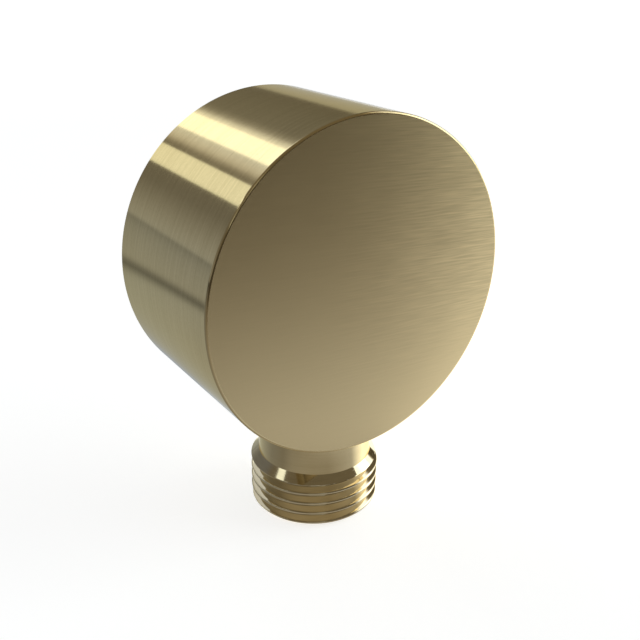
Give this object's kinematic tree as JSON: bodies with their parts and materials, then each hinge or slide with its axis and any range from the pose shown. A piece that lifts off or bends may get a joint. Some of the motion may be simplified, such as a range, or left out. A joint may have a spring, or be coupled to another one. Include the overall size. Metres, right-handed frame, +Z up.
{
  "type": "shower hose wall outlet",
  "caption": "Round brushed brass wall outlet elbow: screws onto a half-inch pipe at its back and takes a shower hose on the male thread below.",
  "frame": {"origin": "middle of the wall face, on the axis of the inlet thread", "axes": "+Y into the wall along the inlet axis, +Z up, the front face looks along -Y and the hose thread points along -Z"},
  "size_m": [0.05, 0.028, 0.0654],
  "materials": {
    "brushed_brass": "brushed gold, straight grain on the front face and turned grain round the side",
    "turned_brass": "bright turned brass with the same gold colour",
    "seal_rubber": "matt black rubber"
  },
  "bodies": {
    "root": {"body": "brushed_brass", "outlet_nipple": "turned_brass", "nipple_washer": "seal_rubber"}
  },
  "joints": []
}
